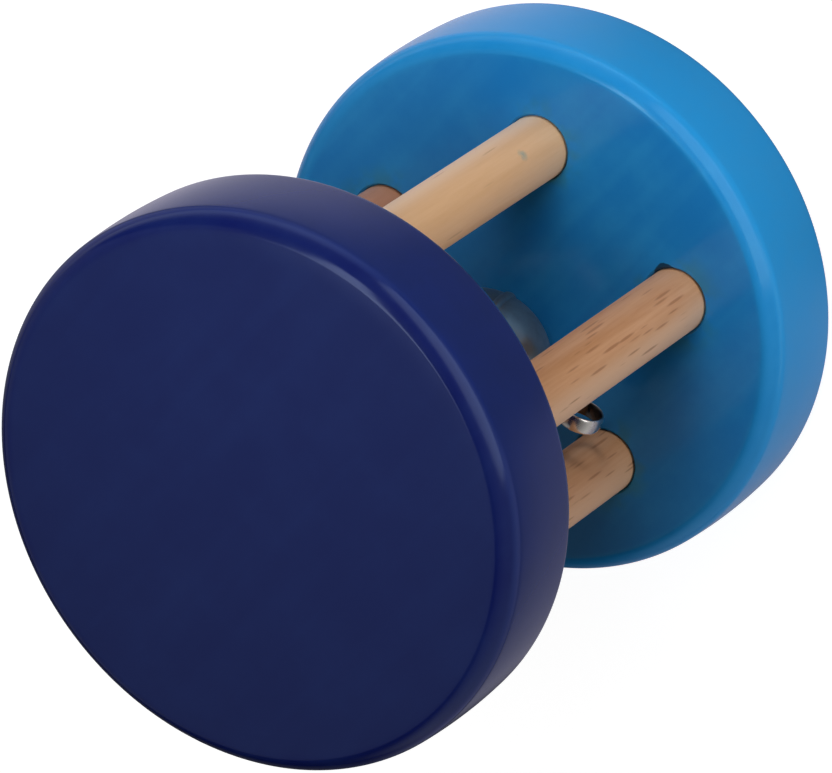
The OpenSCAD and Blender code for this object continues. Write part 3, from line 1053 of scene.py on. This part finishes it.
# the fourth colour of each look is its lit side, painted light
wood_looks = [(*pinkish, (0.74, 0.43, 0.25, 1), -LIT_SIDE_REACH), (*pinkish, (0.76, 0.46, 0.27, 1), -LIT_SIDE_REACH),
              (*pinkish, (0.86, 0.55, 0.34, 1), -LIT_SIDE_REACH), (*pale, (0.95, 0.68, 0.46, 1), LIT_SIDE_REACH),
              (*reddish, (0.50, 0.24, 0.14, 1), LIT_SIDE_REACH)]
fleck_amounts = [0.5, 0.75, 0.8, 0.1, 0.35]
rods = zip(dowels, wood_looks, dowel_centres, fleck_amounts)
for number, (rod, look, centre, fleck_amount) in enumerate(rods, start=1):
    wood = bare_wood("bare_beech_%d" % number, *look, centre[0], fleck_amount, SEED_STEP * number)
    rod.data.materials.append(wood)

# %% [markdown]
# ## Plated metal
# Nickel plate is bright and a little warm. Handling leaves it with fine rub marks and a cloudy film, so
# the roughness wanders and the colour dulls where the film is thicker. The loop and the cups are lit and
# shaded copies of one nickel: the loop is brighter, which is painted light, and the inside of its eye is
# dark, which is painted shade. The cups are darker, which is painted shade for their place in the cage, and
# have a haze that scatters a little light. The ball inside is plain steel.

# %% Plated metal
EYE_SHADE_COLOUR = (0.10, 0.085, 0.08, 1)


def plated_metal(name, bright, dull, roughness, seed, haze=0.0, eye=None):
    """Metal, with a slow noise that mixes in the dull colour and lifts the roughness, and a matte share for
    its haze. If a round eye is given by its centre and axis, the side that faces that axis gets a dark
    colour,
    which is painted shade: the cross product of a spoke and the axis is as long as the distance from the
    axis."""
    material, tree, shader, place = new_material(name)
    film = ramp(tree, noise(tree, place, 260.0, 5.0, seed, Roughness=0.6), 0.42, 0.75)
    rub = noise(tree, place, 3200.0, 2.0)
    rough = math_node(tree, "ADD", roughness, product(tree, film, 0.14))
    bump = add(tree, "Bump", {"Height": rub, "Strength": 0.04, "Distance": 0.01 * MM})
    colour = mix_colour(tree, film, bright, dull)
    if eye:
        centre, axis = eye
        spoke = add(tree, "VectorMath", {0: place, 1: centre}, operation="SUBTRACT").outputs[0]
        swept = add(tree, "VectorMath", {0: spoke, 1: axis}, operation="CROSS_PRODUCT").outputs[0]
        # inside the eye the colour turns dark: painted shade
        outside_painted_shade = ramp(tree, vector_length(tree, swept), EYE_R - 0.20 * MM, EYE_R + 0.08 * MM)
        colour = mix_colour(tree, outside_painted_shade, EYE_SHADE_COLOUR, colour)
    tree.links.new(colour, shader.inputs["Base Color"])
    tree.links.new(rough, shader.inputs["Roughness"])
    tree.links.new(bump.outputs[0], shader.inputs["Normal"])
    shader.inputs["Metallic"].default_value = 1.0 - haze
    return material


# %% [markdown]
# ### Nickel and steel
# The loop and the cups share the function but not the look. The ball keeps its CAD mesh, because a sphere
# needs no dressing, and only its material is changed.

# %% Loop, cups and ball
loop_eye = (at_bell(np.array([0, 0, EYE_CENTRE])), bell_turn[:, 0])
# the loop's brighter nickel is painted light, and the cups' darker nickel is painted shade
nickel = plated_metal("lit_bright_nickel", bright=(0.86, 0.82, 0.78, 1), dull=(0.66, 0.63, 0.59, 1),
                      roughness=0.22, seed=3.1, eye=loop_eye)
shaded_dull_nickel = plated_metal("shaded_dull_nickel", bright=(0.40, 0.39, 0.37, 1), dull=(0.27, 0.265, 0.255, 1),
                           roughness=0.28, seed=5.6, haze=0.14)
steel = plated_metal("steel_ball", bright=(0.46, 0.46, 0.47, 1), dull=(0.33, 0.33, 0.34, 1),
                     roughness=0.22, seed=8.8)
bell_loop.data.materials.append(nickel)
for cup in (bell_upper, bell_lower):
    cup.data.materials.append(shaded_dull_nickel)
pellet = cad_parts["bell_pellet"]
pellet.data.materials.clear()
pellet.data.materials.append(steel)
